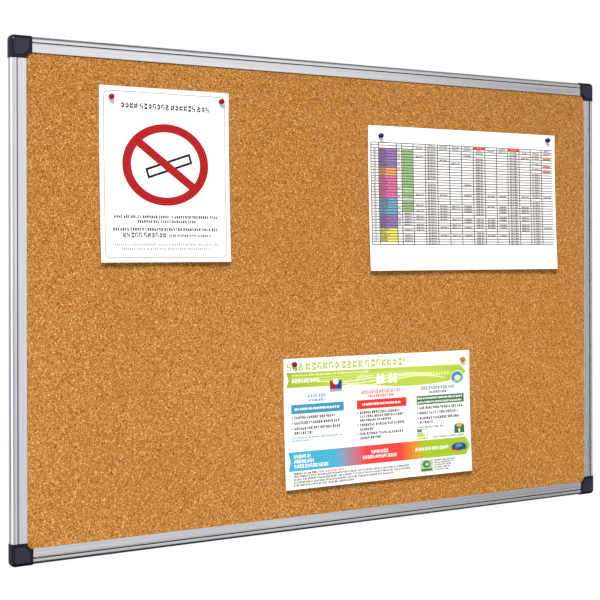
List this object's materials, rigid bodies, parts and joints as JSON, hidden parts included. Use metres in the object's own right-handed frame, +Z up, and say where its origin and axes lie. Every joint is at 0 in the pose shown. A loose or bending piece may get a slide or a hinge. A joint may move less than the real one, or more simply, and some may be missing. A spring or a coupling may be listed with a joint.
{
  "type": "cork bulletin board",
  "caption": "Wall-hung cork bulletin board with a thin aluminium frame, dark plastic corners with snap covers, and pinned notices.",
  "frame": {"origin": "middle of the back, on the plane of the wall", "axes": "+X to the right seen from the front, +Z up, +Y out of the back into the wall, so the cork faces -Y"},
  "size_m": [0.9, 0.0184, 0.6],
  "materials": {
    "anodised_aluminium": "satin clear anodised extrusion",
    "corner_plastic": "near-black navy moulded plastic, soft sheen",
    "cover_plastic": "dark navy moulded plastic, fine satin face",
    "cork": "fine-grain agglomerated cork, unsealed",
    "softboard": "pressed wood-fibre board",
    "backing": "plain pale grey backing sheet",
    "sign_paper": "laminated paper, printed, satin",
    "chart_paper": "laminated paper, printed, satin",
    "leaflet_paper": "laminated paper, printed, satin",
    "pin_red": "glossy moulded plastic",
    "pin_blue": "glossy moulded plastic",
    "pin_yellow": "glossy moulded plastic",
    "needle_steel": "bright drawn steel"
  },
  "bodies": {
    "board": {"frame_rail_bottom": "anodised_aluminium", "frame_rail_right": "anodised_aluminium", "frame_rail_top": "anodised_aluminium", "frame_rail_left": "anodised_aluminium", "corner_body_bottom_left": "corner_plastic", "corner_body_bottom_right": "corner_plastic", "corner_body_top_right": "corner_plastic", "corner_body_top_left": "corner_plastic", "cork_sheet": "cork", "core_board": "softboard", "back_sheet": "backing"},
    "cover_bottom_left": {"corner_cover_bottom_left": "cover_plastic"},
    "cover_bottom_right": {"corner_cover_bottom_right": "cover_plastic"},
    "cover_top_right": {"corner_cover_top_right": "cover_plastic"},
    "cover_top_left": {"corner_cover_top_left": "cover_plastic"},
    "sheet_sign": {"notice_sign": "sign_paper"},
    "pin_sign_left": {"pin_head_sign_left": "pin_red", "pin_needle_sign_left": "needle_steel"},
    "pin_sign_right": {"pin_head_sign_right": "pin_red", "pin_needle_sign_right": "needle_steel"},
    "sheet_chart": {"notice_chart": "chart_paper"},
    "pin_chart_left": {"pin_head_chart_left": "pin_blue", "pin_needle_chart_left": "needle_steel"},
    "pin_chart_right": {"pin_head_chart_right": "pin_blue", "pin_needle_chart_right": "needle_steel"},
    "sheet_leaflet": {"notice_leaflet": "leaflet_paper"},
    "pin_leaflet_left": {"pin_head_leaflet_left": "pin_red", "pin_needle_leaflet_left": "needle_steel"},
    "pin_leaflet_right": {"pin_head_leaflet_right": "pin_yellow", "pin_needle_leaflet_right": "needle_steel"}
  },
  "joints": [
    {"name": "cover_bottom_left_pull", "type": "slide", "parent": "board", "child": "cover_bottom_left", "axis": [0, -1, 0], "range_m": [0, 0.01]},
    {"name": "cover_bottom_right_pull", "type": "slide", "parent": "board", "child": "cover_bottom_right", "axis": [0, -1, 0], "range_m": [0, 0.01]},
    {"name": "cover_top_right_pull", "type": "slide", "parent": "board", "child": "cover_top_right", "axis": [0, -1, 0], "range_m": [0, 0.01]},
    {"name": "cover_top_left_pull", "type": "slide", "parent": "board", "child": "cover_top_left", "axis": [0, -1, 0], "range_m": [0, 0.01]},
    {"name": "sheet_sign_lift", "type": "slide", "parent": "board", "child": "sheet_sign", "axis": [0, -1, 0], "range_m": [0, 0.015]},
    {"name": "pin_sign_left_pull", "type": "slide", "parent": "sheet_sign", "child": "pin_sign_left", "axis": [0, -1, 0], "range_m": [0, 0.012]},
    {"name": "pin_sign_right_pull", "type": "slide", "parent": "sheet_sign", "child": "pin_sign_right", "axis": [0, -1, 0], "range_m": [0, 0.012]},
    {"name": "sheet_chart_lift", "type": "slide", "parent": "board", "child": "sheet_chart", "axis": [0, -1, 0], "range_m": [0, 0.015]},
    {"name": "pin_chart_left_pull", "type": "slide", "parent": "sheet_chart", "child": "pin_chart_left", "axis": [0, -1, 0], "range_m": [0, 0.012]},
    {"name": "pin_chart_right_pull", "type": "slide", "parent": "sheet_chart", "child": "pin_chart_right", "axis": [0, -1, 0], "range_m": [0, 0.012]},
    {"name": "sheet_leaflet_lift", "type": "slide", "parent": "board", "child": "sheet_leaflet", "axis": [0, -1, 0], "range_m": [0, 0.015]},
    {"name": "pin_leaflet_left_pull", "type": "slide", "parent": "sheet_leaflet", "child": "pin_leaflet_left", "axis": [0, -1, 0], "range_m": [0, 0.012]},
    {"name": "pin_leaflet_right_pull", "type": "slide", "parent": "sheet_leaflet", "child": "pin_leaflet_right", "axis": [0, -1, 0], "range_m": [0, 0.012]}
  ]
}
